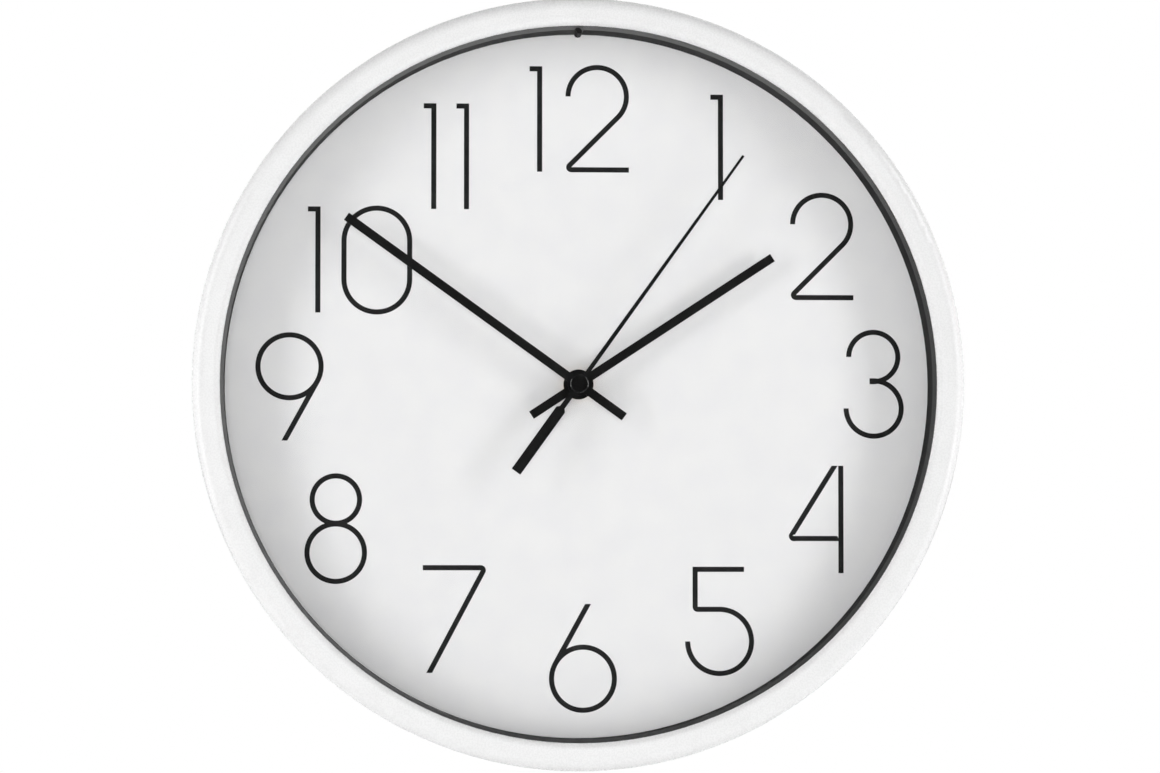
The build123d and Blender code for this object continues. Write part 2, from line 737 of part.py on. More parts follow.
with BuildPart() as second_shaft:
    disc(second_shaft_radius, second_shoulder, second_shaft_front - second_shoulder)
    disc(pivot_radius, second_shoulder - pivot_length, pivot_length)
write(second_shaft, "second_shaft")

with BuildPart() as fifth_wheel:
    wheel(fifth_teeth, rotor_leaves, fifth_wheel_phase, fifth_layer, fifth_axis, rotor_spacing)
    arbor(fifth_shoulders, fifth_axis)
    pinion(fifth_leaves, second_teeth, fifth_angle + 180, second_layer, fifth_axis)
write(fifth_wheel, "fifth_wheel")

magnet_rear = (stator_back + stator_front - magnet_height) / 2
with BuildPart() as rotor_pinion:
    arbor(rotor_shoulders, rotor_axis)
    pinion(rotor_leaves, fifth_teeth, rotor_angle + 180, fifth_layer, rotor_axis, rotor_spacing)
write(rotor_pinion, "rotor_pinion")

with BuildPart() as rotor_magnet:
    disc(magnet_radius, magnet_rear, magnet_height, rotor_axis)
    disc(arbor_radius, magnet_rear, magnet_height, rotor_axis, Mode.SUBTRACT)
write(rotor_magnet, "rotor_magnet")

# ---- Stepping motor: stator, core, coil and screws ------------------------------------------------
column_bottom, column_top = coil_ends[0][1] - stator_leg / 2, coil_ends[1][1] + stator_leg / 2
arm_left = coil_x - stator_leg / 2
arm_right = rotor_axis[0] + stator_leg / 2
with BuildPart() as stator:
    with BuildSketch(front_plane(stator_back)):
        with Locations((rotor_axis[0], (column_bottom + column_top) / 2)):
            Rectangle(stator_leg, column_top - column_bottom)
        for _, arm_z in coil_ends:
            with Locations(((arm_left + arm_right) / 2, arm_z)):
                Rectangle(arm_right - arm_left, stator_leg)
        with Locations(rotor_axis):
            Circle(magnet_radius + magnet_gap + stator_eye)
            Circle(magnet_radius + magnet_gap, mode=Mode.SUBTRACT)
        with Locations(*coil_ends):
            Circle(coil_screw_radius + screw_fit, mode=Mode.SUBTRACT)
    extrude(amount=stator_thickness)
write(stator, "stator")

with BuildPart() as coil_core:
    with BuildSketch(front_plane(stator_front)):
        with Locations((coil_x, (column_bottom + column_top) / 2)):
            Rectangle(core_width, column_top - column_bottom)
        with Locations(*coil_ends):
            Rectangle(stator_leg, stator_leg)
        with Locations(*coil_ends):
            Circle(coil_screw_radius + screw_fit, mode=Mode.SUBTRACT)
    extrude(amount=core_thickness)
write(coil_core, "coil_core")

coil_depth = stator_front + core_thickness / 2


def coil_plane(height):
    return Plane(origin=(coil_x, -coil_depth, height), x_dir=(1, 0, 0), z_dir=(0, 0, 1))


with BuildPart() as coil_bobbin:
    with BuildSketch(coil_plane(coil_bottom)):
        Circle(bobbin_radius)
    extrude(amount=coil_length)
    for flange_height in (coil_bottom - bobbin_flange_thickness, coil_top):
        with BuildSketch(coil_plane(flange_height)):
            Rectangle(bobbin_flange, bobbin_flange)
        extrude(amount=bobbin_flange_thickness)
    with BuildSketch(coil_plane(coil_bottom - bobbin_flange_thickness)):
        Rectangle(core_width + core_fit, core_thickness + core_fit)
    extrude(amount=coil_length + 2 * bobbin_flange_thickness, mode=Mode.SUBTRACT)
write(coil_bobbin, "coil_bobbin")

with BuildPart() as coil_winding:
    with BuildSketch(coil_plane(coil_bottom)):
        Circle(coil_radius)
        Circle(bobbin_radius, mode=Mode.SUBTRACT)
    extrude(amount=coil_length)
write(coil_winding, "coil_winding")

with BuildPart() as coil_screws:
    for place in coil_ends:
        disc(coil_screw_head, stator_back - coil_screw_head_height, coil_screw_head_height, place)
        disc(coil_screw_radius, stator_back, coil_screw_length, place)
write(coil_screws, "coil_screws")

# ---- Timing circuit -------------------------------------------------------------------------------
board_front = board_rear + board_thickness
with BuildPart() as circuit_board:
    with BuildSketch(front_plane(board_rear, board_centre)):
        Rectangle(board_width, board_length)
    extrude(amount=board_thickness)
write(circuit_board, "circuit_board")

with BuildPart() as controller_chip:
    with BuildSketch(front_plane(board_front, (board_centre[0], board_centre[1] - board_length / 4))):
        Circle(chip_size / 2)
    extrude(amount=chip_height)
    chamfer(controller_chip.edges().sort_by(Axis.Y)[0], chip_bevel)
write(controller_chip, "controller_chip")

with BuildPart() as quartz_crystal:
    crystal_place = (board_centre[0], -board_front - crystal_radius, board_centre[1] + board_length / 12)
    with BuildSketch(Plane(origin=crystal_place, x_dir=(1, 0, 0), z_dir=(0, 0, 1))):
        Circle(crystal_radius)
    extrude(amount=crystal_length)
write(quartz_crystal, "quartz_crystal")

# ---- Battery and its contacts ---------------------------------------------------------------------
with BuildPart() as negative_contact:
    plate_x = -room_half_width + contact_thickness / 2
    with BuildSketch(front_plane(contact_depth, (plate_x, (cell_axis_z - contact_width / 2 + bay_top) / 2))):
        Rectangle(contact_thickness, bay_top - cell_axis_z + contact_width / 2)
    extrude(amount=contact_width)
    with BuildSketch(front_plane(contact_depth, (plate_x, (bay_top + board_centre[1]) / 2))):
        Rectangle(contact_thickness, board_centre[1] - bay_top)
    extrude(amount=board_thickness * 2)
    with BuildSketch(front_plane(contact_depth, (plate_x, cell_axis_z))):
        with BuildLine():
            ThreePointArc((0, -contact_width / 2), (contact_bulge, 0), (0, contact_width / 2))
            Line((0, contact_width / 2), (-contact_thickness / 2, contact_width / 2))
            ThreePointArc(
                (-contact_thickness / 2, contact_width / 2),
                (contact_bulge - contact_thickness, 0),
                (-contact_thickness / 2, -contact_width / 2),
            )
            Line((-contact_thickness / 2, -contact_width / 2), (0, -contact_width / 2))
        make_face()
    extrude(amount=contact_width)
write(negative_contact, "negative_contact")

with BuildPart() as positive_contact:
    plate_x = room_half_width - contact_thickness / 2
    strip_z = room_bottom + contact_thickness / 2
    with BuildSketch(front_plane(contact_depth, (plate_x, (cell_axis_z - contact_width / 2 + strip_z) / 2))):
        Rectangle(contact_thickness, strip_z + contact_thickness / 2 - cell_axis_z + contact_width / 2)
    extrude(amount=contact_width)
    strip_end = board_centre[0] - board_width / 2
    with BuildSketch(front_plane(contact_depth, ((strip_end + room_half_width) / 2, strip_z))):
        Rectangle(room_half_width - strip_end, contact_thickness)
    extrude(amount=contact_width / 3)
    dimple_plane = Plane(origin=(plate_x, -cell_depth, cell_axis_z), x_dir=(0, 1, 0), z_dir=(-1, 0, 0))
    with BuildSketch(dimple_plane):
        Circle(nub_radius / 2)
    extrude(amount=contact_thickness * 2, taper=dimple_draft)
write(positive_contact, "positive_contact")

cell_start = -room_half_width + contact_thickness / 2 + contact_bulge + cell_gap
cell_length = room_half_width - nub_gap - nub_length - cell_start
with BuildPart() as battery_cell:
    cell_plane = Plane(origin=(cell_start, -cell_depth, cell_axis_z), x_dir=(0, 1, 0), z_dir=(1, 0, 0))
    with BuildSketch(cell_plane):
        Circle(cell_radius)
    extrude(amount=cell_length)
    chamfer(battery_cell.edges().filter_by(GeomType.CIRCLE), cell_bevel)
    with BuildSketch(cell_plane.offset(cell_length)):
        Circle(nub_radius)
    extrude(amount=nub_length)
write(battery_cell, "battery_cell")

# ---- Hand setting ---------------------------------------------------------------------------------
with BuildPart() as setting_knob:
    disc(knob_radius, knob_rear, knob_thickness, setting_axis)
    with BuildSketch(front_plane(knob_rear, setting_axis)):
        with PolarLocations(knob_radius, knob_flutes):
            Circle(flute_radius)
    extrude(amount=knob_thickness, mode=Mode.SUBTRACT)
    disc(knob_shaft_radius, knob_front, setting_shoulder + pivot_length / 2 - knob_front, setting_axis)
write(setting_knob, "setting_knob")

with BuildPart() as setting_pinion:
    pinion(setting_leaves, minute_work_teeth, setting_phase, minute_work_layer, setting_axis)
    disc(knob_shaft_radius, minute_work_layer - layer_margin, face_width + 2 * layer_margin,
         setting_axis, Mode.SUBTRACT)
write(setting_pinion, "setting_pinion")

# ---- Hands ----------------------------------------------------------------------------------------


def straight_hand(depth, clock_angle, reach, tail, width, disc_radius, tube_radius, collar):
    """A stamped bar hand with a round hub and a collar that is pressed on its tube."""
    with BuildSketch(hand_plane(depth, clock_angle)) as hand_face:
        with Locations(((reach - tail) / 2, 0)):
            Rectangle(reach + tail, width)
        Circle(disc_radius)
    extrude(hand_face.sketch, amount=hand_thickness)
    disc(tube_radius + collar_wall, depth, hand_thickness + collar)
    disc(tube_radius, depth, hand_thickness + collar, mode=Mode.SUBTRACT)


with BuildPart() as hour_hand:
    straight_hand(
        hour_hand_depth, hour_angle, hour_reach, hour_tail, hour_width,
        hour_disc_radius, hour_tube_radius, hour_collar,
    )
write(hour_hand, "hour_hand")

with BuildPart() as minute_hand:
    straight_hand(
        minute_hand_depth, minute_angle, minute_reach, minute_tail, minute_width,
        minute_disc_radius, minute_tube_radius, minute_collar,
    )
write(minute_hand, "minute_hand")

with BuildPart() as second_hand:
    with BuildSketch(hand_plane(second_hand_depth, second_angle)):
        with BuildLine():
            Polyline(
                (second_reach, second_tip_width / 2),
                (0, second_root_width / 2),
                (0, second_neck_width / 2),
                (-second_neck, second_neck_width / 2),
                (-second_neck - counterweight_taper, counterweight_width / 2),
                (-counterweight_reach, counterweight_width / 2),
                (-counterweight_reach, -counterweight_width / 2),
                (-second_neck - counterweight_taper, -counterweight_width / 2),
                (-second_neck, -second_neck_width / 2),
                (0, -second_neck_width / 2),
                (0, -second_root_width / 2),
                (second_reach, -second_tip_width / 2),
                close=True,
            )
        make_face()
        Circle(cap_radius - collar_wall)
    extrude(amount=second_thickness)
    disc(second_shaft_radius + collar_wall, second_hand_depth - second_collar, second_collar)
    disc(second_shaft_radius, second_hand_depth - second_collar, second_collar + second_thickness,
         mode=Mode.SUBTRACT)
write(second_hand, "second_hand")

with BuildPart() as second_hand_cap:
    disc(cap_radius, second_shaft_front, cap_height - cap_bevel_height)
    with BuildSketch(front_plane(second_shaft_front + cap_height - cap_bevel_height)):
        Circle(cap_radius)
    extrude(amount=cap_bevel_height, taper=cap_bevel_slope)
write(second_hand_cap, "second_hand_cap")
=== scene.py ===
import json
from math import ceil, cos, pi, radians, sin, tan

import bmesh
import bpy
from mathutils import Matrix, Vector


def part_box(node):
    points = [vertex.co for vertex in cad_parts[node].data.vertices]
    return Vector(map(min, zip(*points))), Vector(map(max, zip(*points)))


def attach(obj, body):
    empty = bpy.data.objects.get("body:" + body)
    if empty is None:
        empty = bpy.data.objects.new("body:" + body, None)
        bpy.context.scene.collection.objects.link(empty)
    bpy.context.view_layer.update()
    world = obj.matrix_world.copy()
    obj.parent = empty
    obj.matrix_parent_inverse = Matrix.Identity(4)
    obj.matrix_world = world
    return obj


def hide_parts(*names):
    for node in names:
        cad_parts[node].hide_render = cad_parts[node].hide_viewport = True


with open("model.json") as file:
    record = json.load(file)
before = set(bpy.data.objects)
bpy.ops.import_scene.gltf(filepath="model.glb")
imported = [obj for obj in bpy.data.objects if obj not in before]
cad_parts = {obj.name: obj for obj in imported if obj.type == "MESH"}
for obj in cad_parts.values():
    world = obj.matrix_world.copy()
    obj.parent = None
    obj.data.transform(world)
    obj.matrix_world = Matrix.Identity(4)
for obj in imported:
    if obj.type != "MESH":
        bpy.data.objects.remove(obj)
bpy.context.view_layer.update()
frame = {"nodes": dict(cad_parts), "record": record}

MM = 0.001

# ---- Sizes, in millimetres ------------------------------------------------------------------------
stroke_width = 2.0          # of the numerals
half = stroke_width / 2
ink_thickness = 0.04
ink_step = 0.004            # a stroke that crosses another lies this much higher
ink_sunk = 0.01
degrees_per_step = 4.0

ring_front = 34.0
ring_bevel_height = 0.7
# A dark disc on the bevel: the nib itself, and a painted shade of the nib round it, its middle set 0.8 mm
# left of the nib
nib_and_shade_middle = (-0.8, -ring_front, 137.0)
nib_and_shade_radius = 1.6
sleeve_fold = 1.6           # how far the cell's sleeve reaches in over its ends
soft_edge = 0.1             # the width over which one finish passes into the next

screw_circle = 144.0
screw_count = 6
screw_first_angle = 30.0
screw_turn = 1.3            # radians by which each screw is driven further round than the last
screw_steps = 28            # round its axis
screw_shank_radius = 1.25
screw_shank_length = 10.0
screw_point = 1.2           # the end of the shank that has no thread
screw_thread_depth = 0.22
screw_thread_pitch = 1.1
groove_from, groove_to, land_from = 0.25, 0.65, 0.95    # along one turn, as shares of the pitch
screw_run_out = 0.3         # from the last land down to the point
screw_head_radius = 2.6
screw_head_rim = 0.7
screw_crown, screw_shoulder = 0.62, 0.88                # as shares of the head's radius
screw_crown_height = 0.28   # above the shoulder
recess_half_width = 0.42
recess_reach = 1.5
recess_depth = 1.0
cutter_rise = 0.4           # how far the recess's cutter stands out of the head
cutter_taper = (0.6, 1.0, 0.8)


def grey(level):
    """The linear value of a display grey from 0 to 255."""
    share = level / 255
    return share / 12.92 if share <= 0.04045 else ((share + 0.055) / 1.055) ** 2.4


def shade(red, green, blue):
    return (grey(red), grey(green), grey(blue), 1.0)


# ---- Finishes -------------------------------------------------------------------------------------
class Graph:
    """The shader nodes of a material or a world, and the coordinates its patterns follow."""

    def __init__(self, owner):
        owner.use_nodes = True
        self.tree = owner.node_tree
        self.place = self.node("ShaderNodeTexCoord").outputs["Object"]

    def node(self, kind, **values):
        made = self.tree.nodes.new(kind)
        for key, value in values.items():
            if key in made.inputs:
                made.inputs[key].default_value = value
            else:
                setattr(made, key, value)
        return made

    def join(self, output, target):
        self.tree.links.new(output, target)

    def scaled(self, measure, start, end, first, last, **values):
        """Takes a measure from start to end to a value from first to last."""
        scale = self.node("ShaderNodeMapRange", **values)
        scale.inputs["From Min"].default_value, scale.inputs["From Max"].default_value = start, end
        scale.inputs["To Min"].default_value, scale.inputs["To Max"].default_value = first, last
        self.join(measure, scale.inputs["Value"])
        return scale.outputs["Result"]

    def combined(self, operation, first, second):
        """The result of an operation on two outputs, such as their product or the greater one."""
        made = self.node("ShaderNodeMath", operation=operation)
        self.join(first, made.inputs[0])
        self.join(second, made.inputs[1])
        return made.outputs["Value"]

    def mixed(self, share, first, second):
        """Mixes two surfaces by a share of the second, and makes the mix the material's own."""
        mix = self.node("ShaderNodeMixShader")
        self.join(share, mix.inputs["Fac"])
        self.join(first, mix.inputs[1])
        self.join(second, mix.inputs[2])
        self.join(mix.outputs["Shader"], self.tree.nodes["Material Output"].inputs["Surface"])


class Finish(Graph):
    """A material with its principled shader."""

    def __init__(self, name):
        self.material = bpy.data.materials.new(name)
        super().__init__(self.material)
        self.shader = self.tree.nodes["Principled BSDF"]

    def set(self, **values):
        for key, value in values.items():
            self.shader.inputs[key.replace("_", " ").title().replace("Ior", "IOR")].default_value = value

    def stretched(self, x, y, z):
        mapping = self.node("ShaderNodeMapping", Scale=(x, y, z))
        self.join(self.place, mapping.inputs["Vector"])
        return mapping.outputs["Vector"]

    def noise(self, size, detail=3.0, place=None):
        """Soft noise whose patches are about size millimetres across."""
        texture = self.node("ShaderNodeTexNoise", Scale=1 / (size * MM), Detail=detail)
        self.join(place or self.place, texture.inputs["Vector"])
        return texture.outputs["Fac"]

    def colour(self, pattern, dark, light, low=0.35, high=0.65):
        ramp = self.node("ShaderNodeValToRGB")
        ramp.color_ramp.elements[0].position, ramp.color_ramp.elements[0].color = low, dark
        ramp.color_ramp.elements[1].position, ramp.color_ramp.elements[1].color = high, light
        self.join(pattern, ramp.inputs["Fac"])
        self.join(ramp.outputs["Color"], self.shader.inputs["Base Color"])

    def roughness(self, pattern, low, high):
        self.join(self.scaled(pattern, 0.3, 0.7, low, high), self.shader.inputs["Roughness"])

    def two_tone(self, zone, dark, light):
        """Colours zone 0 dark and zone 0.9 light, each faintly mottled."""
        tone = self.node("ShaderNodeMath", operation="MULTIPLY_ADD")
        tone.inputs[1].default_value = 0.1
        self.join(self.noise(9.0), tone.inputs[0])
        self.join(zone, tone.inputs[2])
        self.colour(tone.outputs["Value"], dark, light, 0.0, 1.0)

    def relief(self, pattern, depth):
        bump = self.node("ShaderNodeBump", Distance=depth * MM, Strength=1.0)
        self.join(pattern, bump.inputs["Height"])
        self.join(bump.outputs["Normal"], self.shader.inputs["Normal"])


def moulded(name, dark, light, rough, grain, depth, **sockets):
    """Injection-moulded plastic: faint flow mottling, and the fine grain of the mould's wall."""
    finish = Finish(name)
    finish.colour(finish.noise(9.0), dark, light)
    fine = finish.noise(grain, 4.0)
    finish.roughness(fine, *rough)
    finish.relief(fine, depth)
    finish.set(**sockets)
    return finish.material


def metal(name, dark, light, rough, stretch, depth, grain=0.35):
    """Metal with the fine parallel marks of drawing, rolling or turning."""
    finish = Finish(name)
    marks = finish.noise(grain, 5.0, finish.stretched(*stretch))
    finish.colour(marks, dark, light)
    finish.roughness(marks, *rough)
    finish.relief(marks, depth)
    finish.set(metallic=1.0)
    return finish.material


def lens_glass():
    """Clear flat glass that daylight and lamps pass straight through."""
    finish = Finish("clear_lens")
    finish.roughness(finish.noise(40.0, 1.0), 0.0, 0.012)
    finish.shader.inputs["Transmission Weight"].default_value = 1.0
    finish.shader.inputs["IOR"].default_value = 1.14
    finish.shader.inputs["Base Color"].default_value = (1.0, 1.0, 1.0, 1.0)
    path = finish.node("ShaderNodeLightPath").outputs
    unbent = finish.combined("MAXIMUM", path["Is Shadow Ray"], path["Is Diffuse Ray"])
    clear = finish.node("ShaderNodeBsdfTransparent").outputs["BSDF"]
    finish.mixed(unbent, finish.shader.outputs["BSDF"], clear)
    return finish.material


def ring_plastic():
    """Black plastic, dull on the wall and the nib; its front bevel carries a painted reflection in pale grey,
    with a painted shade round the nib.
    """
    finish = Finish("black_ring")
    depth = finish.node("ShaderNodeSeparateXYZ")
    finish.join(finish.place, depth.inputs["Vector"])
    bevel_rear = (ring_bevel_height - ring_front) * MM
    bevel = finish.scaled(depth.outputs["Y"], bevel_rear + soft_edge * MM, bevel_rear, 0.0, 0.9)
    # The bevel stays dark over the nib and over the nib's painted shade round it
    nib = finish.node("ShaderNodeVectorMath", operation="DISTANCE")
    nib.inputs[1].default_value = [length * MM for length in nib_and_shade_middle]
    finish.join(finish.place, nib.inputs[0])
    off_nib_and_shade = finish.scaled(nib.outputs["Value"], nib_and_shade_radius * MM, (nib_and_shade_radius + soft_edge) * MM, 0.0, 1.0)
    painted_reflection_zone = finish.combined("MULTIPLY", bevel, off_nib_and_shade)
    # Dark is the plastic's own black; the pale grey laid on the bevel is a painted reflection of the lamps
    finish.two_tone(painted_reflection_zone, shade(10, 10, 10), shade(70, 70, 70))
    finish.join(finish.scaled(painted_reflection_zone, 0.0, 1.0, 0.95, 0.66), finish.shader.inputs["Roughness"])
    finish.relief(finish.noise(0.6, 4.0), 0.003)
    finish.set(specular_ior_level=0.22)
    return finish.material


def cell_sleeve():
    """A dark shrink sleeve on a nickelled can, folded over its edges and open at its two ends."""
    finish = Finish("cell_sleeve")
    low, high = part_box("battery_cell")
    axis = (low + high) / 2
    across = finish.node("ShaderNodeMapping", Location=(0.0, -axis.y, -axis.z), Scale=(0.0, 1.0, 1.0))
    finish.join(finish.place, across.inputs["Vector"])
    reach = finish.node("ShaderNodeVectorMath", operation="LENGTH")
    finish.join(across.outputs["Vector"], reach.inputs[0])
    bare = (high.z - low.z) / 2 - sleeve_fold * MM
    covered = bare + soft_edge * MM
    from_axis = reach.outputs["Value"]
    nickel = finish.scaled(from_axis, covered, bare, 0.0, 0.9)
    finish.two_tone(nickel, shade(56, 58, 62), shade(206, 204, 198))
    finish.join(finish.scaled(from_axis, covered, bare, 0.0, 1.0), finish.shader.inputs["Metallic"])
    fine = finish.noise(0.5, 4.0)
    finish.roughness(fine, 0.26, 0.36)
    finish.relief(fine, 0.006)
    return finish.material


def copper_winding():
    """Turns of fine enamelled wire laid side by side around the bobbin."""
    finish = Finish("copper_wire")
    turns = finish.node("ShaderNodeTexWave", wave_type="BANDS", bands_direction="Z", Scale=1600.0)
    turns.inputs["Distortion"].default_value = 0.6
    finish.join(finish.place, turns.inputs["Vector"])
    finish.colour(turns.outputs["Fac"], shade(120, 58, 30), shade(214, 128, 84), 0.1, 0.8)
    finish.roughness(finish.noise(0.5), 0.22, 0.4)
    finish.relief(turns.outputs["Fac"], 0.04)
    finish.set(metallic=1.0)
    return finish.material


def circuit_board():
    """Green solder mask over faintly raised copper tracks."""
    finish = Finish("solder_mask")
    tracks = finish.node("ShaderNodeTexBrick", Scale=420.0)
    tracks.inputs["Mortar Size"].default_value = 0.06
    tracks.inputs["Color1"].default_value = shade(30, 92, 52)
    tracks.inputs["Color2"].default_value = shade(34, 98, 56)
    tracks.inputs["Mortar"].default_value = shade(52, 128, 76)
    turned = finish.node("ShaderNodeMapping", Rotation=(pi / 2, 0.0, 0.0))
    finish.join(finish.place, turned.inputs["Vector"])
    finish.join(turned.outputs["Vector"], tracks.inputs["Vector"])
    finish.join(tracks.outputs["Color"], finish.shader.inputs["Base Color"])
    finish.roughness(finish.noise(0.8), 0.3, 0.42)
    finish.relief(tracks.outputs["Fac"], 0.03)
    return finish.material


along_x, along_y, along_z = (0.03, 1.0, 1.0), (1.0, 0.02, 1.0), (1.0, 1.0, 0.04)
finishes = {
    "white_case": moulded(
        "white_bezel", shade(239, 239, 239), shade(241, 241, 241), (0.24, 0.31), 0.7, 0.003),
    "white_cover": moulded(
        "white_cover", shade(229, 229, 228), shade(232, 232, 231), (0.42, 0.56), 0.35, 0.015),
    "lens": lens_glass(),
    "black_ring": ring_plastic(),
    "dial_face": moulded("dial_paper", shade(237, 237, 238), shade(240, 240, 240), (0.5, 0.62), 0.25, 0.006),
    "zinc_screw": metal("zinc_plate", shade(168, 168, 164), shade(206, 206, 200), (0.25, 0.4), along_y, 0.01),
    "movement_shell": moulded("black_shell", shade(34, 34, 35), shade(44, 44, 45), (0.4, 0.58), 0.4, 0.03),
    "rubber": moulded("black_rubber", shade(38, 38, 38), shade(48, 47, 46), (0.68, 0.82), 0.5, 0.03),
    "brass": metal("turned_brass", shade(190, 152, 84), shade(222, 188, 118), (0.2, 0.34), along_y, 0.008),
    "iron": metal("soft_iron", shade(150, 150, 152), shade(186, 186, 188), (0.3, 0.45), along_x, 0.008),
    "bobbin_plastic": moulded("bobbin", shade(168, 40, 30), shade(186, 50, 38), (0.36, 0.5), 0.4, 0.01),
    "copper_wire": copper_winding(),
    "board": circuit_board(),
    "epoxy": moulded("potting_epoxy", shade(22, 22, 23), shade(32, 32, 32), (0.14, 0.3), 1.2, 0.03),
    "crystal_can": metal(
        "crystal_can", shade(186, 186, 188), shade(216, 216, 218), (0.16, 0.3), along_z, 0.005),
    "contact_spring": metal(
        "nickel_strip", shade(182, 180, 172), shade(214, 212, 204), (0.18, 0.32), along_x, 0.006),
    "gear_white": moulded("acetal", shade(226, 221, 206), shade(236, 232, 220), (0.3, 0.42), 0.5, 0.008),
    "steel_shaft": metal(
        "drawn_steel", shade(176, 177, 180), shade(208, 209, 212), (0.15, 0.28), along_y, 0.004),
    "magnet": metal(
        "sintered_magnet", shade(72, 72, 76), shade(104, 104, 108), (0.4, 0.6), (1, 1, 1), 0.02, 0.2),
    "knob": moulded("white_knob", shade(222, 222, 219), shade(232, 232, 229), (0.36, 0.5), 0.4, 0.015),
    "hand_black": moulded(
        "black_paint", shade(11, 11, 11), shade(17, 17, 17), (0.42, 0.56), 0.3, 0.012,
        specular_ior_level=0.2),
    "cap_black": moulded("black_cap", shade(10, 10, 10), shade(14, 14, 14), (0.2, 0.26), 0.4, 0.002),
    "cell_sleeve": cell_sleeve(),
}
numeral_ink = moulded(
    "numeral_ink", shade(21, 21, 21), shade(26, 26, 26), (0.5, 0.65), 0.3, 0.006,
    specular_ior_level=0.25)
for row in frame["record"]["subparts"]:
    surface = frame["nodes"][row["node"]].data
    surface.materials.clear()
    surface.materials.append(finishes[row["material_slot"]])


# ---- Numerals: ink strokes of one width, laid on the dial -----------------------------------------
class Pen:
    """A flat nib that lays a stroke, in millimetres right of and above the dial's centre.

    Headings are in degrees counter-clockwise from the right. A level end is cut along a horizontal
    line instead of square to the stroke."""

    def __init__(self, x, z, heading, level=False):
        self.ink = bmesh.new()
        self.heading = radians(heading)
        across = Vector((-sin(self.heading), 0, cos(self.heading))) * half
        if level:
            across = Vector((-half / sin(self.heading), 0, 0))
        middle = Vector((x, 0, z))
        self.nib = self.ink.edges.new([self.ink.verts.new(middle + side * across) for side in (1, -1)])

    def drawn_on(self):
        """Draws the nib out into a new face, and returns its corners, still where they were."""
        drawn = bmesh.ops.extrude_edge_only(self.ink, edges=[self.nib])["geom"]
        self.nib = next(part for part in drawn if isinstance(part, bmesh.types.BMEdge))
        return self.nib.verts

    def go(self, length):
        along = Vector((cos(self.heading), 0, sin(self.heading)))
        for corner in self.drawn_on():
            corner.co += along * length

    def level(self, height):
        """Goes on to a height and ends there with a level cut."""
        for corner in self.drawn_on():
            rise = height - corner.co.z
            corner.co += Vector((rise / tan(self.heading), 0, rise))

    def bend(self, radius, degrees):
        """Follows an arc of that radius, to the left for positive degrees."""
        side = 1 if degrees > 0 else -1
        middle = (self.nib.verts[0].co + self.nib.verts[1].co) / 2
        to_centre = Vector((-sin(self.heading), 0, cos(self.heading))) * side * radius
        turned = bmesh.ops.spin(
            self.ink, geom=[self.nib], cent=middle + to_centre, axis=(0, -1, 0), angle=radians(degrees),
            steps=ceil(abs(degrees) / degrees_per_step), use_merge=False, use_duplicate=False,
        )["geom_last"]
        self.nib = next(part for part in turned if isinstance(part, bmesh.types.BMEdge))
        self.heading += radians(degrees)

    def lifted(self, thickness):
        """The stroke as a solid layer of ink."""
        bmesh.ops.remove_doubles(self.ink, verts=self.ink.verts, dist=0.001)
        raised = bmesh.ops.extrude_face_region(self.ink, geom=self.ink.faces[:])["geom"]
        corners = [part for part in raised if isinstance(part, bmesh.types.BMVert)]
        bmesh.ops.translate(self.ink, verts=corners, vec=(0, -thickness, 0))
        bmesh.ops.recalc_face_normals(self.ink, faces=self.ink.faces)
        return self.ink


# Each digit is its strokes: where the pen starts from the digit's own middle and baseline, its
# heading, whether it starts level, and its moves.
digits = {
    "0": [(12.8, 13.2, 90, False, [("go", 15.0), ("bend", 12.8, 180), ("go", 15.0), ("bend", 12.8, 180)])],
    "1": [
        (0.0, 0.0, 90, False, [("go", 41.45)]),
        (-3.95, 41.45 - half, 0, False, [("go", 3.95 - half)]),
    ],
    "2": [(-11.46, 29.66, 90, False, [
        ("bend", 11.46, -225), ("go", 26.86), ("bend", half, 135), ("go", 22.61)])],
    "3": [
        (-9.68, 31.39, 90, False, [("bend", 9.68, -270), ("go", 1.5)]),
        (-1.5, 22.04, 0, False, [("go", 1.6), ("bend", 10.85, -270)]),
    ],
    "4": [
        (0.0, 0.0, 90, False, [("go", 42.0)]),
        (-2.41, 42.0, 238.04, True, [("go", 31.766), ("bend", half, 121.96), ("go", 17.47)]),
    ],
    "5": [
        (-half, 41.0, 0, False, [("go", 20.15)]),
        (0.0, 41.0 - half, 270, False, [
            ("go", 13.6), ("bend", half, 90), ("go", 8.55), ("bend", 12.5, -270)]),
    ],
    "6": [
        (12.26, 12.56, 90, False, [("bend", 12.26, 360)]),
        (-10.74, 18.47, 61.2, False, [("level", 41.63)]),
    ],
    "7": [(-12.23, 40.85, 0, False, [("go", 22.56), ("bend", half, -117.93), ("level", 0.0)])],
    "8": [
        (9.21, 32.13, 90, False, [("bend", 9.21, 360)]),
        (11.16, 11.49, 90, False, [("bend", 11.16, 360)]),
    ],
    "9": [
        (12.26, 28.92, 90, False, [("bend", 12.26, 360)]),
        (10.74, 23.01, 241.2, False, [("level", 0.0)]),
    ],
}
# Middle and baseline of each digit, from the dial's centre
numerals = {
    1: [("1", 56.1, 72.85)],
    2: [("2", 95.9, 33.8)],
    3: [("3", 116.1, -20)],
    4: [("4", 103.15, -73.3)],
    5: [("5", 45.9, -112.85)],
    6: [("6", 2.05, -127)],
    7: [("7", -48.15, -112.15)],
    8: [("8", -94.2, -77)],
    9: [("9", -112.35, -21.95)],
    10: [("1", -101.45, 28), ("0", -78.5, 27.9)],
    11: [("1", -56.35, 68.7), ("1", -43.55, 68.7)],
    12: [("1", -14.95, 83.55), ("2", 7.65, 83.55)],
}


def as_mesh(shape, name):
    """A finished bmesh as a mesh."""
    mesh = bpy.data.meshes.new(name)
    shape.to_mesh(mesh)
    shape.free()
    return mesh


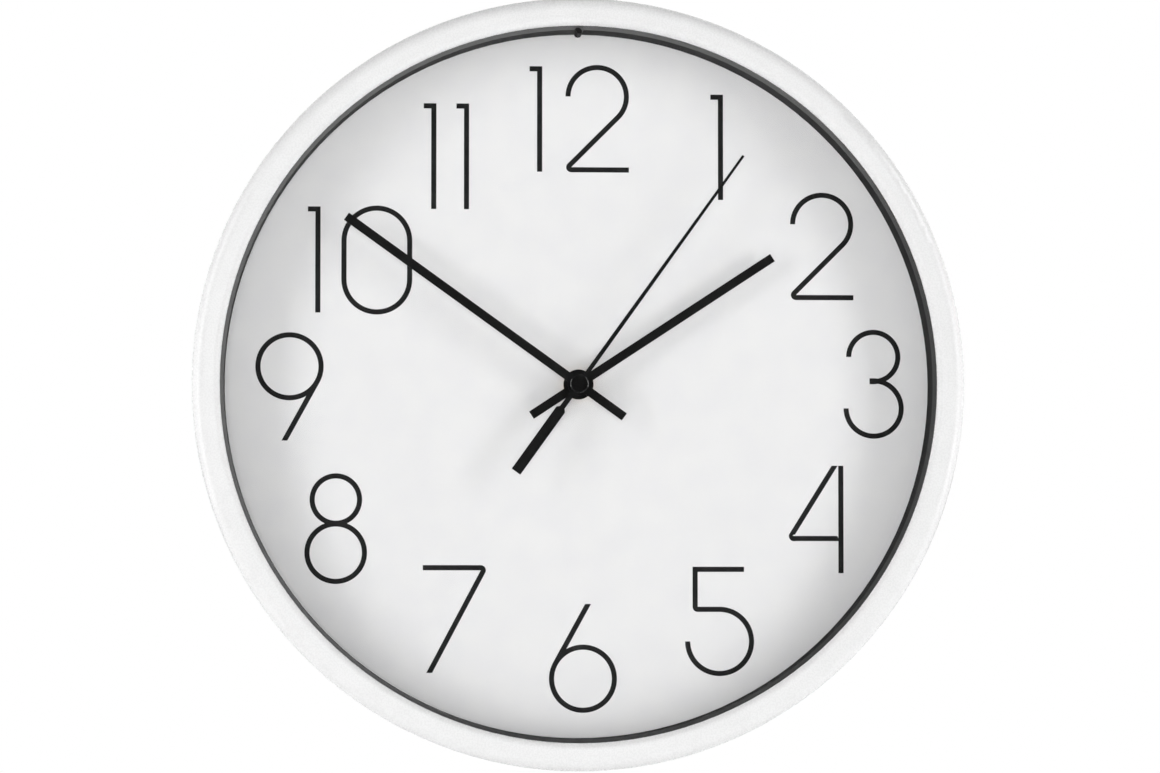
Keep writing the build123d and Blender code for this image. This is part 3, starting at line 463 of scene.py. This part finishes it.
def in_scene(data):
    """A new object of the scene for a mesh, lamp or camera, and named like it."""
    made = bpy.data.objects.new(data.name, data)
    bpy.context.scene.collection.objects.link(made)
    return made


def as_piece(shape, name, material, body):
    """A finished bmesh as a named piece that rides on a body."""
    piece = in_scene(as_mesh(shape, name))
    piece.data.materials.append(material)
    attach(piece, body)
    return piece


dial_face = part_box("dial")[0].y / MM
for hour, places in numerals.items():
    numeral = bmesh.new()
    for digit, middle, baseline in places:
        for order, (x, z, heading, level, moves) in enumerate(digits[digit]):
            pen = Pen(middle + x, baseline + z, heading, level)
            for move, *values in moves:
                if move == "level":
                    pen.level(baseline + values[0])
                else:
                    getattr(pen, move)(*values)
            layer = pen.lifted(ink_sunk + ink_thickness + order * ink_step)
            bmesh.ops.translate(layer, verts=layer.verts, vec=(0, dial_face + ink_sunk, 0))
            bmesh.ops.scale(layer, verts=layer.verts, vec=(MM, MM, MM))
            stroke = as_mesh(layer, "stroke")
            numeral.from_mesh(stroke)
            bpy.data.meshes.remove(stroke)
    as_piece(numeral, f"numeral_{hour}", numeral_ink, "case")


# ---- Case screws: pan heads with a cross recess, and a coarse thread ------------------------------
screw_tip, back_of_head = (corner.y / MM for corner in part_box("case_screws"))


def cross_recess():
    """The cross that a driver fills, tapered towards its floor, as one closed shape."""
    cross = bmesh.new()
    for turned in (0, pi / 2):
        arm = bmesh.ops.create_cube(cross, size=1.0)["verts"]
        size = (2 * recess_reach, cutter_rise + recess_depth, 2 * recess_half_width)
        bmesh.ops.scale(cross, verts=arm, vec=size)
        inner = [corner for corner in arm if corner.co.y < 0]
        bmesh.ops.scale(cross, verts=inner, vec=cutter_taper)
        bmesh.ops.rotate(cross, verts=arm, cent=(0, 0, 0), matrix=Matrix.Rotation(turned, 3, "Y"))
        bmesh.ops.translate(cross, verts=arm, vec=(0, (cutter_rise - recess_depth) / 2, 0))
    return cross


def screw_shape():
    """One screw on the Y axis: the head's back at y = 0, and the shank going towards -Y.

    The thread is a row of grooves and lands round the shank."""
    length = back_of_head - screw_tip
    head = length - screw_shank_length
    groove_radius = screw_shank_radius - screw_thread_depth
    screw = bmesh.new()
    profile = [
        (0.0, 0.0),
        (screw_head_radius * screw_crown, 0.0),
        (screw_head_radius * screw_shoulder, -screw_crown_height),
        (screw_head_radius, -head + screw_head_rim),
        (screw_head_radius, -head),
        (screw_shank_radius, -head),
    ]
    turn = -head
    while turn - screw_thread_pitch > -length + screw_point:
        profile += [
            (groove_radius, turn - groove_from * screw_thread_pitch),
            (groove_radius, turn - groove_to * screw_thread_pitch),
            (screw_shank_radius, turn - land_from * screw_thread_pitch),
            (screw_shank_radius, turn - screw_thread_pitch),
        ]
        turn -= screw_thread_pitch
    profile += [(groove_radius, turn - screw_run_out), (0.0, -length)]
    points = [screw.verts.new((radius, y, 0)) for radius, y in profile]
    edges = [screw.edges.new(pair) for pair in zip(points, points[1:])]
    bmesh.ops.spin(
        screw, geom=points + edges, cent=(0, 0, 0), axis=(0, 1, 0), angle=2 * pi, steps=screw_steps,
        use_merge=True, use_duplicate=False,
    )
    bmesh.ops.remove_doubles(screw, verts=screw.verts, dist=0.001)
    bmesh.ops.recalc_face_normals(screw, faces=screw.faces)
    return screw


def laid_round(shape):
    """The shape repeated at each screw's place on the case, in metres."""
    mesh = as_mesh(shape, "one")
    ring = bmesh.new()
    for screw in range(screw_count):
        angle = radians(screw_first_angle + 360 / screw_count * screw)
        driven = Matrix.Rotation(screw_turn * screw, 3, "Y")
        before = set(ring.verts)
        ring.from_mesh(mesh)
        fresh = [corner for corner in ring.verts if corner not in before]
        bmesh.ops.rotate(ring, verts=fresh, cent=(0, 0, 0), matrix=driven)
        place = (screw_circle * cos(angle), back_of_head, screw_circle * sin(angle))
        bmesh.ops.translate(ring, verts=fresh, vec=place)
    bmesh.ops.scale(ring, verts=ring.verts, vec=(MM, MM, MM))
    bpy.data.meshes.remove(mesh)
    return ring


screws = as_piece(laid_round(screw_shape()), "case_screw_set", finishes["zinc_screw"], "case")
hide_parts("case_screws")
cutter = in_scene(as_mesh(laid_round(cross_recess()), "recess"))
carve = screws.modifiers.new("recess", "BOOLEAN")
carve.object, carve.operation, carve.solver, carve.use_self = cutter, "DIFFERENCE", "EXACT", True
carved = bpy.data.meshes.new_from_object(screws.evaluated_get(bpy.context.evaluated_depsgraph_get()))
screws.modifiers.clear()
screws.data = carved
bpy.data.objects.remove(cutter)

# ---- Stage ----------------------------------------------------------------------------------------
floor_height = -0.62
floor_half = 9.0
floor_fade = (0.5, 1.5)     # metres out, over which the floor goes over into the white room
floor_white = (0.45, 1.0)   # how white the camera finds it on either side of that
room_light = 0.10           # strength of the white room as it lights the clock
dim_room = 0.02             # and as mirrors and glass show it in front of the clock
dim_until, white_from = -0.5, 0.2       # on the way from in front of the clock to behind it

floor_shape = bmesh.new()
bmesh.ops.create_grid(floor_shape, x_segments=1, y_segments=1, size=floor_half)
bmesh.ops.translate(floor_shape, verts=floor_shape.verts, vec=(0, 0, floor_height))
floor = in_scene(as_mesh(floor_shape, "floor"))
floor_paint = Finish("pale_floor")
floor_paint.set(base_color=(0.9, 0.9, 0.9, 1.0), roughness=0.9)
out = floor_paint.node("ShaderNodeVectorMath", operation="LENGTH")
floor_paint.join(floor_paint.place, out.inputs[0])
fade = floor_paint.scaled(out.outputs["Value"], *floor_fade, *floor_white, interpolation_type="SMOOTHSTEP")
seen_by = floor_paint.node("ShaderNodeLightPath").outputs
to_the_eye = floor_paint.combined("MULTIPLY", fade, seen_by["Is Camera Ray"])
bright = floor_paint.node("ShaderNodeEmission").outputs["Emission"]
floor_paint.mixed(to_the_eye, floor_paint.shader.outputs["BSDF"], bright)
floor.data.materials.append(floor_paint.material)

# A white room to the eye; in mirrors and glass it is white behind the clock and dim in front of it
world = bpy.data.worlds.new("room")
bpy.context.scene.world = world
room = Graph(world)
ray = room.node("ShaderNodeLightPath").outputs
aim = room.node("ShaderNodeSeparateXYZ")
room.join(room.place, aim.inputs["Vector"])
level = room.node("ShaderNodeMix", A=room_light)
room.join(room.combined("MAXIMUM", ray["Is Glossy Ray"], ray["Is Transmission Ray"]), level.inputs["Factor"])
room.join(room.scaled(aim.outputs["Y"], dim_until, white_from, dim_room, 1.0), level.inputs["B"])
seen = room.node("ShaderNodeMix", B=1.0)
room.join(ray["Is Camera Ray"], seen.inputs["Factor"])
room.join(level.outputs["Result"], seen.inputs["A"])
background = room.tree.nodes["Background"]
room.join(seen.outputs["Result"], background.inputs["Strength"])
background.inputs["Color"].default_value = (1, 1, 1, 1)


def softbox(name, azimuth, elevation, width, height, power, distance=2.2):
    """A soft lamp aimed at the dial: azimuth 0 is straight in front of it, 90 to its right."""
    light = bpy.data.lights.new(name, "AREA")
    light.shape, light.size, light.size_y, light.energy = "RECTANGLE", width, height, power
    holder = in_scene(light)
    turn, rise = radians(azimuth), radians(elevation)
    towards = Vector((sin(turn) * cos(rise), -cos(turn) * cos(rise), sin(rise)))
    holder.location = distance * towards
    holder.rotation_euler = (-towards).to_track_quat("-Z", "Y").to_euler()
    holder.visible_camera = False
    return holder


softbox("left_softbox", -60, 1, 0.55, 3.0, 34.5)
softbox("right_softbox", 60, 1, 0.55, 3.0, 34.5)
softbox("left_edge_softbox", -96, -10, 0.55, 2.0, 8.5)
softbox("right_edge_softbox", 96, -10, 0.55, 2.0, 8.5)
# The front and rear lamps are polarised: they light paint and paper and leave no glare
front_softbox = softbox("front_softbox", -3, 0, 0.9, 0.9, 12.5)
rear_softbox = softbox("rear_softbox", 168, 33, 1.6, 1.2, 39.0)
for lamp in (front_softbox, rear_softbox):
    lamp.visible_glossy = lamp.visible_transmission = False
# A flagged lamp low on the right that reaches only the ring, and picks out its bevel at the upper left
ring_softbox = softbox("ring_softbox", 51, -38, 0.35, 0.35, 14.0, distance=0.85)
ring_softbox.light_linking.receiver_collection = bpy.data.collections.new("reached_by_ring_softbox")
ring_softbox.light_linking.receiver_collection.objects.link(frame["nodes"]["spacer_ring"])

# ---- Camera ---------------------------------------------------------------------------------------
camera_distance = 1.8
camera_left = 3.5           # degrees off the hands' axis
camera_below = 3.0
focal_length = 144.5
aimed_at = Vector((-0.00022, -0.0392, -0.0015))     # metres, in the plane of the band's front

camera = in_scene(bpy.data.cameras.new("camera"))
camera.data.lens = focal_length
camera.data.sensor_width = 36.0
camera.data.clip_start, camera.data.clip_end = 0.05, 40.0
across, down = radians(camera_left), radians(camera_below)
away = Vector((-sin(across) * cos(down), -cos(across) * cos(down), -sin(down)))
camera.location = aimed_at + away * camera_distance
camera.rotation_euler = (-away).to_track_quat("-Z", "Y").to_euler()
bpy.context.scene.camera = camera
bpy.context.scene.view_settings.view_transform = "Standard"
